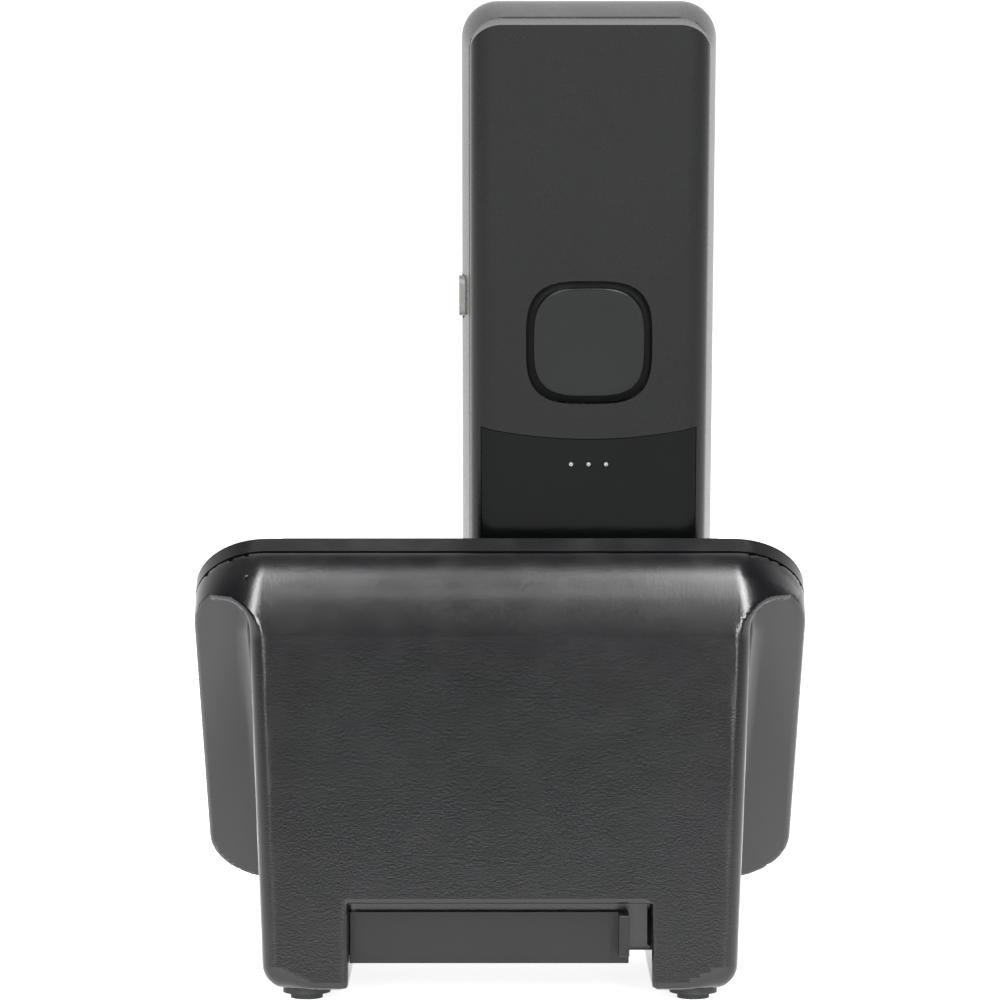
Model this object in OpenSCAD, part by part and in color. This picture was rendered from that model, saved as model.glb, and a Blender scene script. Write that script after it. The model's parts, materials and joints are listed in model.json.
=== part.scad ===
// Cordless phone that stands in a tilted charging base with an answering machine.
// Millimetres, +Z up, the front faces -Y, the table is Z = 0, centred in X and Y.

/* [Base] */
// Width of the base
base_w = 119.4; // [105:1:145]
// Slope of the front face above the table, in degrees
face_tilt = 45; // [42:1:50]
// Length of the front face up its slope
face_len = 95.5; // [92:0.5:115]
// Height of the front face's lower edge above the table
face_z = 21; // [18:0.5:27]
// Corner radius of the front face
face_r = 14.5; // [8:0.5:18]
// Depth of the tilted head behind the front face
head_t = 10; // [9.5:0.5:13]
// Height of the front cover's edge
cover_t = 3.2; // [3:0.1:4]
// Wall of the base shells
wall = 2; // [1.6:0.1:2.5]
// Radius of the shoulder between ridge and rear wall
shoulder_r = 26; // [16:1:32]
// Lean of the rear wall, in degrees
rear_lean = 4.5; // [2:0.5:8]
// Plan radius of the hood's rear corners
hood_r = 11; // [6:0.5:14]
// Height of the raised rib along the ridge
ridge_h = 0.8; // [0.4:0.1:1.2]

/* [Stand] */
// Width of the stand just below the hood
stand_top_w = 97.6; // [92:0.2:100]
// Width of the stand at the table
stand_foot_w = 91.2; // [84:0.2:94]
// Height of the arch above the side scoops
scoop_z = 76.8; // [72:0.5:80]
// Radius of the arch
arch_r = 5; // [3:0.5:8]
// Distance of the stand's front wall behind the front edge
stand_front = 14; // [11:0.5:20]
// Height of the legs' undersides above the table
leg_z = 2.5; // [2:0.1:4]
// Height of the tunnel's ceiling above the table
tunnel_z = 9; // [7.5:0.5:11]
// Top of the cut-out in the rear wall above the table
cutout_z = 19; // [16:0.2:21]
// Width of the cord notch
notch_w = 4.2; // [3.5:0.1:6]

/* [Handset] */
// Width of the handset
hs_w = 49.2; // [44:0.2:54]
// Thickness of the handset
hs_t = 24; // [23.5:0.5:28]
// Length of the handset
hs_l = 160.5; // [155:1:185]
// Lean of the handset in the cradle, in degrees
hs_lean = 12.5; // [9:0.5:16]
// Length of the handset's back that stands below the ridge
hs_depth = 58; // [52:1:62]
// Distance between the handset and the side of the stand's foot
hs_edge = 3.8; // [3.4:0.2:6]
// Distance between the ridge and the handset's back
hs_gap = 4; // [3.5:0.5:6]
// Running clearance between handset and cradle
hs_clear = 0.5; // [0.3:0.1:1]
// Wall of the handset housings
hs_wall = 1.6; // [1.2:0.1:2]
// Step from the front housing's edge in to the back housing
hs_step = 1.6; // [1:0.1:2.2]
// Thickness of the back housing
back_t = 8; // [7.5:0.5:9]
// Width across the speaker cap's hole
cap_hole = 24.4; // [20:0.2:27]
// Width of the ring groove around the speaker cap
cap_groove = 1.4; // [1:0.1:2]
// Distance between the battery door and the side of the back housing
door_edge = 2.2; // [1:0.1:3]
// Length of the battery door
door_l = 79; // [72:0.5:80]
// Travel of the battery door as it unlatches
door_travel = 5; // [3:0.5:6]

/* [Keys] */
// Clearance around a key in its hole
key_gap = 0.25; // [0.2:0.05:0.4]
// Height of a key above its surface
key_rise = 1; // [0.7:0.1:1.2]
// Travel of a key
key_travel = 0.8; // [0.5:0.1:0.9]
// Diameter of the play key
play_d = 16; // [13:0.5:18]
// Width of a number key
num_w = 10.6; // [9:0.2:11]
// Height of a number key
num_h = 7.6; // [6.5:0.2:8.2]
// Spacing of the number key rows
row_pitch = 12; // [11.5:0.1:13]
// Spacing of the number key columns
col_pitch = 13.6; // [13:0.1:14.4]

/* [Parts inside] */
// Diameter of a battery cell
cell_d = 10.5; // [10:0.1:10.8]
// Length of a battery cell
cell_l = 44.5; // [44:0.1:45]
// Width of the line jack
line_jack_w = 12.4; // [11:0.2:14]
// Diameter of the power jack's bore
power_bore = 5.6; // [5:0.1:6.5]
// Diameter of the power jack's centre pin
power_pin = 2.1; // [1.3:0.1:2.5]
// Diameter of a rubber foot's flange
foot_d = 9.2; // [8:0.2:11]
// Thickness of the circuit boards
board_t = 1.4; // [1:0.1:1.6]

/* [Hidden] */
$fn = 64;
fit = 0.1; // gap between pieces that are fixed to each other
eps = 0.01; // overshoot of a cut past its face

// Places of the base, measured back from the front edge of the face
function face_y(u, n) = u * cos(face_tilt) - n * sin(face_tilt);
function face_h(u, n) = face_z + u * sin(face_tilt) + n * cos(face_tilt);
ridge = [face_y(face_len, -cover_t), face_h(face_len, -cover_t)];
shoulder = ridge - shoulder_r * [cos(face_tilt), sin(face_tilt)];
wall_top = shoulder + shoulder_r * [cos(rear_lean), sin(rear_lean)];
function rear_y(z) = wall_top[0] + (wall_top[1] - z) * tan(rear_lean);

// Handset's lower end in the cradle, and the depth of everything
hs_back = hs_t / 2;
hs_x = -(stand_foot_w / 2 - hs_edge - hs_w / 2);
hs_y = face_y(face_len, 0) - hs_gap - hs_back * cos(hs_lean) - hs_depth * sin(hs_lean);
hs_z = face_h(face_len, 0) + hs_back * sin(hs_lean) - hs_depth * cos(hs_lean);
hs_rear = hs_y + hs_back * cos(hs_lean) + (hs_l - 4) * sin(hs_lean);
front_y = -max(hs_rear, rear_y(leg_z)) / 2;
hs_split = hs_back - back_t;
back_w = hs_w - 2 * hs_step;
door_w = back_w - 2 * door_edge;
leg_w = stand_foot_w * 0.18;
tunnel_w = stand_foot_w - 2 * leg_w;

// Control panel to the right of the cradle
cradle_wall = 1.8;
panel_margin = 3.5;
panel_x0 = hs_x + hs_w / 2 + hs_clear + cradle_wall + 1.4;
panel_x1 = base_w / 2 - panel_margin;
panel_w = panel_x1 - panel_x0;
panel_x = (panel_x0 + panel_x1) / 2;
panel_u0 = 5.5;
panel_u1 = face_len - 6.5;
panel_t = 0.8;
window_h = 14;
window_u = panel_u1 - window_h / 2 - 3;
pair_x = 8.2; // half the spacing of two keys in a row
row_u = window_u - window_h / 2;

// Name, x, place up the face, width, height and corner radius of each base key
BASE_KEYS = [
    ["erase_key", panel_x - pair_x, row_u - 7, 12, 6.4, 3],
    ["answer_key", panel_x + pair_x, row_u - 7, 12, 6.4, 3],
    ["play_key", panel_x, row_u - 21.5, play_d, play_d, play_d / 2],
    ["skip_back_key", panel_x - pair_x, row_u - 36, 12, 7, 3],
    ["skip_forward_key", panel_x + pair_x, row_u - 36, 12, 7, 3],
    ["volume_down_key", panel_x - pair_x, row_u - 46, 12, 7, 3],
    ["volume_up_key", panel_x + pair_x, row_u - 46, 12, 7, 3],
    ["locator_key", panel_x, row_u - 56, 24, 6.4, 3]
];

// Rows of the handset, measured up from its lower end
row_0 = 30;
talk_z = row_0 + 4 * row_pitch + 1.5;
soft_z = talk_z + 13;
nav_z = (talk_z + soft_z) / 2;
lens_h = 34;
lens_w = hs_w - 9;
lens_z = soft_z + 6.5 + lens_h / 2;
ear_z = lens_z + lens_h / 2 + 9;
cap_z = door_l + 18;
side_key_z = cap_z + 6;
side_key_l = 8;

// Name, x, height, width, height and corner radius of each handset key
HANDSET_KEYS = [
    ["talk_key", -col_pitch, talk_z, 11.4, 8, 3.4],
    ["off_key", col_pitch, talk_z, 11.4, 8, 3.4],
    ["soft_left_key", -col_pitch, soft_z, 11.4, 6, 2.6],
    ["soft_right_key", col_pitch, soft_z, 11.4, 6, 2.6],
    ["navigation_key", 0, nav_z, 11.4, 18, 5.4],
    ["number_1_key", -col_pitch, row_0 + 3 * row_pitch, num_w, num_h, 3],
    ["number_2_key", 0, row_0 + 3 * row_pitch, num_w, num_h, 3],
    ["number_3_key", col_pitch, row_0 + 3 * row_pitch, num_w, num_h, 3],
    ["number_4_key", -col_pitch, row_0 + 2 * row_pitch, num_w, num_h, 3],
    ["number_5_key", 0, row_0 + 2 * row_pitch, num_w, num_h, 3],
    ["number_6_key", col_pitch, row_0 + 2 * row_pitch, num_w, num_h, 3],
    ["number_7_key", -col_pitch, row_0 + row_pitch, num_w, num_h, 3],
    ["number_8_key", 0, row_0 + row_pitch, num_w, num_h, 3],
    ["number_9_key", col_pitch, row_0 + row_pitch, num_w, num_h, 3],
    ["star_key", -col_pitch, row_0, num_w, num_h, 3],
    ["number_0_key", 0, row_0, num_w, num_h, 3],
    ["hash_key", col_pitch, row_0, num_w, num_h, 3]
];
flange = 0.8; // how far a key's flange reaches past its cap
key_rest = 0.8; // space left under a key that is pressed down

// Battery bay of the handset
door_t = 1.6;
door_gap = 0.15;
door_side = 4.8; // reach of the door's curved sides below the back
tray_t = 1.2;
cell_y = hs_back - door_t - 0.3 - cell_d / 2;
cell_x = cell_d / 2 + 0.3;
contact_room = 3;
bay_z0 = 13;
bay_z1 = bay_z0 + cell_l + 2 * contact_room;
bay_w = 2 * cell_x + cell_d + 0.6;
bay_floor = cell_y - cell_d / 2 - 0.2;
hs_screw = [17, 20];
board_y = bay_floor - 2.6 - board_t;
mat_t = 0.8;
handset_key_l = hs_back + board_y - mat_t - key_travel - key_rest; // depth of a key below the surface
lens_t = 0.8;
side_key_y = -3;
ear_slots = [-6.4, -3.2, 0, 3.2, 6.4];

// Charge pins and the gutter that the door's lower end drops into as it slides
pin_x = [-9, 9];
pin_y = -2;
pin_gap = 0.15; // distance of a charge pin below its plate
gutter_d = door_travel + 0.4;
gutter_w = door_side + 1;

// Base inside
panel_z0 = 6.7;
panel_z1 = 16.7;
plate_t = 2;
block_d = 9;
cut_y = rear_y(leg_z) - block_d;
pocket_x0 = -tunnel_w / 2 + fit;
pocket_y0 = 46;
pocket_y1 = cut_y - wall - fit;
pocket_top = 22;
jack_t = 1.8;
board_z = pocket_top + jack_t + 0.4;
jack_z = 16.6;
jack_l = 13;
power_jack_w = 9.2;
line_x = pocket_x0 + jack_t + 0.7 + line_jack_w / 2;
power_x = line_x + line_jack_w / 2 + 1.2 + power_jack_w / 2;
pocket_x1 = power_x + power_jack_w / 2 + jack_t;
foot_x = (tunnel_w / 2 + stand_foot_w / 2) / 2;
foot_sink = 0.5;
screw_boss = 3.4;
screw_x = tunnel_w / 2 - 5.2;
BASE_SCREWS = [[-screw_x, stand_front + 6.4], [screw_x, stand_front + 6.4],
    [screw_x, cut_y - 6], [pocket_x1 + 6, cut_y - 6]];
screw_d = 2.6;
head_d = 5;
foot_y = [stand_front + 8, rear_y(leg_z) - 8];
key_board_n = -head_t + wall + board_t; // top of the key board over the face
base_key_l = -key_board_n - key_travel - key_rest;
speaker_u = 14.5;
speaker_d = 20;

// Shapes

// Corner points of a polygon, each rounded by its own radius (0 keeps it sharp)
function unit(v) = v / norm(v);
function corner(a, p, b, r, steps) =
    let (
        u = unit(a - p),
        v = unit(b - p),
        half = acos(max(-1, min(1, u * v))) / 2,
        c = p + unit(u + v) * r / sin(half),
        s = p + u * r / tan(half) - c,
        e = p + v * r / tan(half) - c,
        from = atan2(s[1], s[0]),
        turn = atan2(s[0] * e[1] - s[1] * e[0], s * e)
    )
    [for (i = [0:steps]) c + r * [cos(from + turn * i / steps), sin(from + turn * i / steps)]];
function rounded(points, radii, steps = 6) =
    let (n = len(points))
    [for (i = [0:n - 1]) each radii[i] <= 0
        ? [points[i]]
        : corner(points[(i + n - 1) % n], points[i], points[(i + 1) % n], radii[i], steps)];

module round_rect(w, h, r) {
    if (w == h && abs(w - 2 * r) < eps) {
        circle(r);
    } else {
        square([w - 2 * r, h], center = true);
        square([w, h - 2 * r], center = true);
        for (x = [-1, 1], y = [-1, 1])
            translate([x * (w / 2 - r), y * (h / 2 - r)]) circle(r);
    }
}

// Rounded square whose sides bulge a little
module squircle(w, h) {
    polygon([for (i = [0:71]) let (c = cos(i * 5), s = sin(i * 5), k = 0.6)
        [w / 2 * sign(c) * pow(abs(c), k), h / 2 * sign(s) * pow(abs(s), k)]]);
}

// Extrudes an outline in X and Z along Y, or one in Y and Z along X
module along_y(y0, y1) {
    translate([0, y1, 0]) rotate([90, 0, 0]) linear_extrude(y1 - y0) children();
}

module along_x(w) {
    rotate([90, 0, 90]) linear_extrude(w, center = true) children();
}

// Frames: the base, its sloped face (y up the slope, z out of it) and the handset (z up its length)
module in_base() {
    translate([0, front_y, 0]) children();
}

module on_face() {
    in_base() translate([0, 0, face_z]) rotate([face_tilt, 0, 0]) children();
}

module in_handset() {
    translate([hs_x, front_y + hs_y, hs_z]) rotate([-hs_lean, 0, 0]) children();
}

// Outline of the tilted head
module head_outline(inset = 0) {
    translate([0, face_len / 2])
        round_rect(base_w - 2 * inset, face_len - 2 * inset, face_r - inset);
}

// Everything in front of the shoulder and the rear wall
module rear_limit(inset = 0) {
    steps = 20;
    r = shoulder_r - inset;
    arc = [for (i = [0:steps]) let (a = face_tilt + (rear_lean - face_tilt) * i / steps)
        shoulder + r * [cos(a), sin(a)]];
    top = arc[0] + 20 * [-sin(face_tilt), cos(face_tilt)];
    floor_z = -5;
    along_x(base_w + 20)
        polygon(concat([[-40, floor_z], [-40, top[1]], top], arc,
            [[rear_y(floor_z) - inset / cos(rear_lean), floor_z]]));
}

// Rounds the hood's rear corners in plan, along the rear wall
module hood_round(inset = 0) {
    depth = 150;
    translate([0, wall_top[0], wall_top[1]]) rotate([rear_lean, 0, 0])
        translate([0, -depth / 2 - inset, -120])
            linear_extrude(240) round_rect(base_w - 2 * inset, depth, hood_r - inset);
}

// Rear view of hood and stand: legs, the arch over each scoop and the hood
module rear_section(inset = 0) {
    foot = stand_foot_w / 2 - inset;
    neck = stand_top_w / 2 - inset;
    out = base_w / 2 + 5;
    top = face_h(face_len, 0) + 20;
    side = [[foot, leg_z + inset], [neck, scoop_z + inset], [out, scoop_z + inset], [out, top]];
    other = [for (i = [3:-1:0]) [-side[i][0], side[i][1]]];
    leg_r = 3.6;
    r = [leg_r - inset, arch_r + inset, 0, 0];
    polygon(rounded(concat(side, other), concat(r, [0, 0, arch_r + inset, leg_r - inset])));
}

module stand_solid(inset = 0) {
    reach = 80; // the outline runs on past the lower edge of the face
    intersection() {
        along_y(stand_front + inset, 200) rear_section(inset);
        translate([0, 0, face_z]) rotate([face_tilt, 0, 0]) translate([0, (face_len - reach) / 2, -150])
            linear_extrude(150 - cover_t)
                round_rect(base_w - 2 * inset, face_len + reach - 2 * inset, face_r - inset);
    }
}

// Half space below the plane at height n over the face
module under_face(n) {
    translate([0, 0, face_z]) rotate([face_tilt, 0, 0])
        translate([-100, -100, n - 200]) cube([200, 400, 200]);
}

module base_solid(inset = 0) {
    intersection() {
        rear_limit(inset);
        hood_round(inset);
        union() {
            translate([0, 0, face_z]) rotate([face_tilt, 0, 0]) translate([0, 0, -head_t + inset])
                linear_extrude(head_t - cover_t - inset) head_outline(inset);
            stand_solid(inset);
        }
    }
}

// Handset outlines: the front housing is a step wider than the back housing
module front_solid(inset = 0, over = 0) {
    edge_r = 6;
    half = hs_w / 2 - inset;
    front = -hs_back + inset;
    intersection() {
        along_y(front, hs_split + over) translate([0, hs_l / 2])
            round_rect(hs_w - 2 * inset, hs_l - 2 * inset, 7 - inset);
        linear_extrude(hs_l) polygon(rounded(
            [[-half, front], [half, front], [half, hs_split + over], [-half, hs_split + over]],
            [edge_r - inset, edge_r - inset, 0, 0]));
    }
}

module back_solid(inset = 0, over = 0) {
    edge_r = 5;
    half = back_w / 2 - inset;
    rear = hs_back - inset;
    intersection() {
        along_y(hs_split - over, rear) translate([0, hs_l / 2])
            round_rect(back_w - 2 * inset, hs_l - 2 * hs_step - 2 * inset, 6 - inset);
        linear_extrude(hs_l) polygon(rounded(
            [[-half, hs_split - over], [half, hs_split - over], [half, rear], [-half, rear]],
            [0, 0, edge_r - inset, edge_r - inset]));
    }
}

// Layer of the back between two depths below its surface, with a constant section
module back_layer(outer, inner, z0, z1) {
    half = back_w / 2;
    r = 5;
    translate([0, 0, z0]) linear_extrude(z1 - z0) difference() {
        polygon(rounded([[-half + outer, hs_split], [half - outer, hs_split],
            [half - outer, hs_back - outer], [-half + outer, hs_back - outer]],
            [0, 0, r - outer, r - outer]));
        polygon(rounded([[-half + inner, hs_split - 1], [half - inner, hs_split - 1],
            [half - inner, hs_back - inner], [-half + inner, hs_back - inner]],
            [0, 0, r - inner, r - inner]));
    }
}

// Outline of the battery door: its upper edge sags in the middle
module door_outline(grow = 0, z0 = 1) {
    sag = 2.3;
    half = door_w / 2 + grow;
    top = door_l + 1 + grow;
    edge = [for (i = [0:16]) let (t = 1 - i / 8) [half * t, top - sag * (1 - t * t)]];
    polygon(concat([[-half, z0], [half, z0]], edge));
}

// One key: cap above the surface, stem through the hole and flange behind the skin
module key(w, h, r, skin, depth, domed = false) {
    crown = 0.4;
    translate([0, 0, -depth]) linear_extrude(depth + key_rise - crown) round_rect(w, h, r);
    translate([0, 0, key_rise - crown]) linear_extrude(crown) round_rect(w - 0.8, h - 0.8, r - 0.4);
    translate([0, 0, -skin - 1.6]) linear_extrude(1) round_rect(w + 2 * flange, h + 2 * flange, r + flange);
    if (domed) translate([0, 0, key_rise]) cylinder(h = 0.3, d = w / 3);
}

module key_hole(k) {
    translate([k[1], k[2]]) round_rect(k[3] + 2 * key_gap, k[4] + 2 * key_gap, k[5] + key_gap);
}

module base_key(name) {
    for (k = BASE_KEYS) if (k[0] == name)
        on_face() translate([k[1], k[2], 0]) key(k[3], k[4], k[5], wall, base_key_l, name == "play_key");
}

module handset_key(name) {
    for (k = HANDSET_KEYS) if (k[0] == name)
        in_handset() translate([k[1], -hs_back, k[2]]) rotate([90, 0, 0])
            key(k[3], k[4], k[5], hs_wall, handset_key_l, name == "number_5_key");
}

// Space around the handset, from a height below its end upwards
module well(grow, floor_z) {
    in_handset() translate([0, 0, floor_z]) linear_extrude(140)
        round_rect(hs_w + 2 * grow, hs_t + 2 * grow, 4 + grow);
}

// Base pieces

module front_cover() {
    rib_l = base_w - 2 * face_r - 5;
    color([0.20, 0.20, 0.21]) difference() {
        on_face() union() {
            difference() {
                translate([0, 0, -cover_t]) linear_extrude(cover_t) head_outline();
                translate([0, 0, -cover_t - eps]) linear_extrude(cover_t - wall + eps) head_outline(wall);
            }
            translate([0, face_len - 1.6, -eps]) linear_extrude(ridge_h + eps) round_rect(rib_l, 1.6, 0.6);
        }
        well(hs_clear + cradle_wall + fit, -10);
        on_face() {
            translate([panel_x, (panel_u0 + panel_u1) / 2, -panel_t])
                linear_extrude(5) round_rect(panel_w, panel_u1 - panel_u0, 6);
            translate([0, 0, -5]) linear_extrude(10) {
                for (k = BASE_KEYS) key_hole(k);
                translate([panel_x, window_u]) round_rect(panel_w - 12, window_h - 4, 1);
                speaker_slots();
            }
        }
    }
}

module speaker_slots() {
    slot_pitch = 2.6;
    for (i = [-3:3]) translate([hs_x, speaker_u + slot_pitch * i])
        round_rect(2 * floor(sqrt(pow(speaker_d / 2, 2) - pow(slot_pitch * i, 2)) - 0.6), 1.4, 0.4);
}

module rear_shell() {
    color([0.21, 0.21, 0.22]) in_base() difference() {
        union() {
            difference() {
                base_solid();
                difference() {
                    base_solid(wall);
                    tunnel_block();
                }
                open_front();
            }
            screw_bosses();
        }
        tunnel_cut();
        for (x = [-1, 1], y = foot_y) translate([x * foot_x, y, leg_z - 1])
            cylinder(h = 1 + foot_sink, d = foot_d + 2 * fit);
    }
}

// Opens the shell towards the front cover
module open_front() {
    intersection() {
        rear_limit(wall);
        translate([0, 0, face_z]) rotate([face_tilt, 0, 0]) translate([0, 0, -head_t + wall])
            linear_extrude(head_t) head_outline(wall);
    }
}

// Walls around the tunnel and around the rear cut-out
module tunnel_block() {
    w = tunnel_w + 2 * wall;
    translate([-w / 2, 0, 0]) cube([w, 200, tunnel_z + plate_t + fit]);
    translate([-w / 2, cut_y - wall, 0]) cube([w, 200, cutout_z + wall]);
}

module tunnel_cut() {
    w = tunnel_w;
    translate([-w / 2, -1, -1]) cube([w, 200, tunnel_z + 1]);
    translate([-w / 2, stand_front + wall, -1])
        cube([w, cut_y - 2 * wall - stand_front, tunnel_z + plate_t + fit + 1]);
    translate([-w / 2, cut_y, -1]) cube([w, 200, cutout_z + 1]);
    translate([-w / 2, cut_y - wall - 1, -1]) cube([notch_w, 200, cutout_z - 3]);
}

module screw_bosses() {
    z0 = tunnel_z + plate_t + fit;
    for (s = BASE_SCREWS) difference() {
        union() {
            translate([s[0], s[1], z0]) cylinder(h = board_z - z0, r = screw_boss);
            if (s[1] < pocket_y0)
                translate([s[0] - 1, stand_front + 1, z0]) cube([2, s[1] - stand_front - 3, 8]);
            else
                translate([s[0] - 1, s[1] + 2, z0]) cube([2, cut_y - s[1] - 3, 8]);
        }
        translate([s[0], s[1], z0 - 1]) cylinder(h = board_z - z0 - 1, d = screw_d);
    }
}

module bottom_cover() {
    w = tunnel_w - 2 * fit;
    y0 = stand_front + wall + fit;
    y1 = cut_y - wall - fit;
    flange_y = cut_y + fit;
    color([0.24, 0.24, 0.25]) in_base() difference() {
        union() {
            translate([-w / 2, y0, tunnel_z]) cube([w, y1 - y0, plate_t]);
            pocket_box(jack_t, pocket_top + jack_t);
            translate([-w / 2 + notch_w, y1 - 1, panel_z0]) cube([w - notch_w, flange_y - y1 + 2, plate_t]);
            translate([-w / 2 + notch_w, flange_y, panel_z0])
                cube([w - notch_w, wall, panel_z1 - panel_z0]);
            translate([-w / 2 + notch_w, flange_y + 1, panel_z0 + 2])
                cube([2, rear_y(panel_z1) - flange_y - 1.6, panel_z1 - panel_z0 - 2]);
            translate([-w / 2 + notch_w, y1 - 1, panel_z0]) cube([w - notch_w, 1, plate_t + 1]);
        }
        pocket_box(0, pocket_top);
        for (s = BASE_SCREWS) translate([s[0], s[1], tunnel_z - 1]) {
            cylinder(h = plate_t + 2, d = screw_d + 0.4);
            cylinder(h = 1.8, d = head_d + 0.4);
        }
        translate([line_x, pocket_y0 - 10, jack_z]) rotate([-90, 0, 0])
            linear_extrude(20) square([line_jack_w - 2.6, 8], center = true);
        translate([power_x, pocket_y0 - 10, jack_z]) rotate([-90, 0, 0])
            cylinder(h = 20, d = power_bore + 1.6);
    }
}

// Hollow for the plugs, open below
module pocket_box(t, top) {
    x0 = pocket_x0 + (t > 0 ? 0 : jack_t);
    x1 = pocket_x1 - (t > 0 ? 0 : jack_t);
    y0 = pocket_y0 - t;
    y1 = pocket_y1 - (t > 0 ? 0 : jack_t);
    z0 = tunnel_z - (t > 0 ? 0 : 1);
    translate([x0, y0, z0]) cube([x1 - x0, y1 - y0, top - z0]);
}

module cradle_body(grow) {
    well(hs_clear + cradle_wall + grow, -hs_clear - cradle_wall - gutter_d - grow);
}

module cradle() {
    color([0.16, 0.16, 0.17]) difference() {
        intersection() {
            cradle_body(0);
            in_base() under_face(0.6);
        }
        well(hs_clear, -hs_clear);
        in_handset() translate([-door_w / 2 - 1, hs_back - gutter_w, -hs_clear - gutter_d])
            cube([door_w + 2, gutter_w + hs_clear, 40]);
        in_handset() translate([-hs_w / 2 - 5, -hs_back - 5, -hs_clear - cradle_wall - gutter_d - 1])
            cube([hs_w + 10, hs_t - gutter_w - cradle_wall + 5, gutter_d + 1]);
        for (x = pin_x) in_handset() translate([x - 1.2, pin_y - 1.6, -10]) cube([2.4, 3.2, 20]);
    }
}

module charge_pins() {
    color([0.85, 0.72, 0.40]) in_handset() for (x = pin_x) {
        floor_z = -hs_clear - cradle_wall;
        translate([x - 1, pin_y - 1.4, floor_z - 0.6]) cube([2, 2.8, -floor_z + 0.6 - pin_gap]);
        translate([x - 2.5, pin_y - 3, floor_z - 1]) cube([5, 6, 1]);
    }
}

module control_panel() {
    color([0.05, 0.05, 0.06]) on_face() difference() {
        translate([panel_x, (panel_u0 + panel_u1) / 2, -panel_t]) linear_extrude(panel_t)
            round_rect(panel_w - 2 * fit, panel_u1 - panel_u0 - 2 * fit, 6 - fit);
        translate([0, 0, -5]) linear_extrude(10) {
            for (k = BASE_KEYS) key_hole(k);
            translate([panel_x, window_u]) round_rect(panel_w - 8, window_h, 2);
        }
    }
}

module counter_window() {
    color([0.10, 0.10, 0.12]) on_face() translate([panel_x, window_u, -panel_t])
        linear_extrude(panel_t + 0.2) round_rect(panel_w - 8 - 2 * fit, window_h - 2 * fit, 2 - fit);
}

module counter_display() {
    color([0.45, 0.10, 0.08]) on_face() translate([panel_x, window_u, key_board_n])
        linear_extrude(-key_board_n - wall - 0.2) round_rect(panel_w - 16, window_h - 2, 0.5);
}

module key_board() {
    color([0.10, 0.35, 0.20]) on_face()
        translate([panel_x + 0.6, (panel_u0 + panel_u1) / 2, key_board_n - board_t])
            linear_extrude(board_t) round_rect(panel_w - 1.6, panel_u1 - panel_u0 - 6, 3);
}

module base_speaker() {
    color([0.30, 0.30, 0.32]) on_face() translate([hs_x, speaker_u, 0]) {
        translate([0, 0, -wall - 2]) cylinder(h = 2, d = speaker_d);
        translate([0, 0, -wall - 5]) cylinder(h = 3, d = speaker_d * 0.6);
    }
}

module main_board() {
    half = stand_foot_w / 2 - wall - 2;
    y0 = stand_front + wall + 2;
    color([0.10, 0.35, 0.20]) difference() {
        in_base() translate([-half, y0, board_z]) cube([2 * half, cut_y - wall - 1 - y0, board_t]);
        cradle_body(0.6);
    }
}

module ballast_plate() {
    x0 = pocket_x1 + 5;
    x1 = tunnel_w / 2 - 4.2;
    color([0.55, 0.56, 0.58]) in_base() translate([x0, pocket_y0 - 18, tunnel_z + plate_t])
        cube([x1 - x0, 32, 4]);
}

module line_jack() {
    color([0.12, 0.12, 0.13]) in_base() translate([line_x, pocket_y0 - jack_t - jack_l, jack_z])
        difference() {
            translate([-line_jack_w / 2, 0, -5]) cube([line_jack_w, jack_l, 10]);
            translate([-line_jack_w / 2 + 1.4, 2, -3.6]) cube([line_jack_w - 2.8, jack_l, 7]);
            translate([-1.6, 2, -4.6]) cube([3.2, jack_l, 4]);
        }
}

module power_jack() {
    color([0.12, 0.12, 0.13]) in_base() translate([power_x, pocket_y0 - jack_t - jack_l, jack_z])
        rotate([-90, 0, 0]) {
            difference() {
                translate([-power_jack_w / 2, -5, 0]) cube([power_jack_w, 10, jack_l]);
                translate([0, 0, 2]) cylinder(h = jack_l, d = power_bore);
            }
            translate([0, 0, 1]) cylinder(h = jack_l - 2, d = power_pin);
        }
}

module rubber_feet() {
    foot_h = leg_z + foot_sink;
    pad_h = 1.1;
    color([0.08, 0.08, 0.08]) in_base() for (x = [-1, 1], y = foot_y) translate([x * foot_x, y, 0]) {
        cylinder(h = pad_h, d = foot_d - 3);
        translate([0, 0, pad_h]) cylinder(h = foot_h - pad_h, d = foot_d);
    }
}

module base_screws() {
    color([0.70, 0.70, 0.72]) in_base() for (s = BASE_SCREWS) translate([s[0], s[1], tunnel_z - 0.7]) {
        difference() {
            cylinder(h = 1.5, d = head_d);
            translate([-1.6, -0.3, -1]) cube([3.2, 0.6, 1.6]);
            translate([-0.3, -1.6, -1]) cube([0.6, 3.2, 1.6]);
        }
        translate([0, 0, 1.4]) cylinder(h = 10, d = screw_d - 0.1);
    }
}

// Handset pieces

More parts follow.
